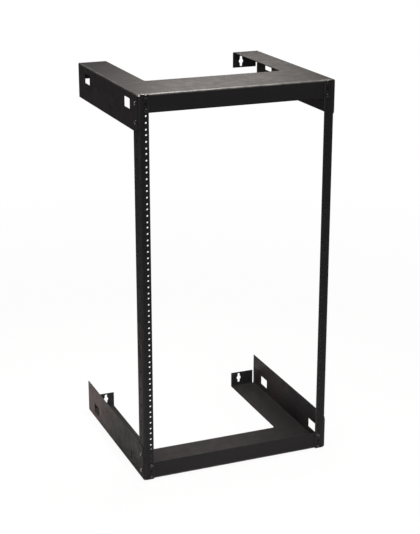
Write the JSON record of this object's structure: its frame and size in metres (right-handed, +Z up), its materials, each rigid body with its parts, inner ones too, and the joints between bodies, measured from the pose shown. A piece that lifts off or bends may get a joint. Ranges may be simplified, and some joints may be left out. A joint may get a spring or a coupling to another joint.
{
  "type": "wall mount rack",
  "caption": "Open 19-inch rack for a wall: two folded U-shaped steel brackets with keyhole tabs, joined by two drilled angle posts that carry rack equipment.",
  "frame": {"origin": "on the wall plane, at the centre of the four keyholes: halfway across and halfway up the rack", "axes": "+Y goes into the wall and -Y is the room side, +Z is up, +X is to the right for someone who faces the rack"},
  "size_m": [0.512, 0.4604, 0.978],
  "materials": {
    "bracket_powder_coat": "black powder coat, fine texture, satin",
    "post_powder_coat": "black powder coat, fine texture, satin",
    "screw_black_oxide": "black oxide steel, semi-gloss",
    "nut_black_zinc": "black zinc plated steel, semi-gloss"
  },
  "bodies": {
    "root": {"top_bracket": "bracket_powder_coat", "bottom_bracket": "bracket_powder_coat", "left_post": "post_powder_coat", "right_post": "post_powder_coat", "top_left_side_screw_1": "screw_black_oxide", "top_left_side_nut_1": "nut_black_zinc", "top_left_front_screw_1": "screw_black_oxide", "top_left_side_screw_2": "screw_black_oxide", "top_left_side_nut_2": "nut_black_zinc", "top_left_front_screw_2": "screw_black_oxide", "top_right_side_screw_1": "screw_black_oxide", "top_right_side_nut_1": "nut_black_zinc", "top_right_front_screw_1": "screw_black_oxide", "top_right_side_screw_2": "screw_black_oxide", "top_right_side_nut_2": "nut_black_zinc", "top_right_front_screw_2": "screw_black_oxide", "bottom_left_side_screw_1": "screw_black_oxide", "bottom_left_side_nut_1": "nut_black_zinc", "bottom_left_front_screw_1": "screw_black_oxide", "bottom_left_side_screw_2": "screw_black_oxide", "bottom_left_side_nut_2": "nut_black_zinc", "bottom_left_front_screw_2": "screw_black_oxide", "bottom_right_side_screw_1": "screw_black_oxide", "bottom_right_side_nut_1": "nut_black_zinc", "bottom_right_front_screw_1": "screw_black_oxide", "bottom_right_side_screw_2": "screw_black_oxide", "bottom_right_side_nut_2": "nut_black_zinc", "bottom_right_front_screw_2": "screw_black_oxide"}
  },
  "joints": []
}
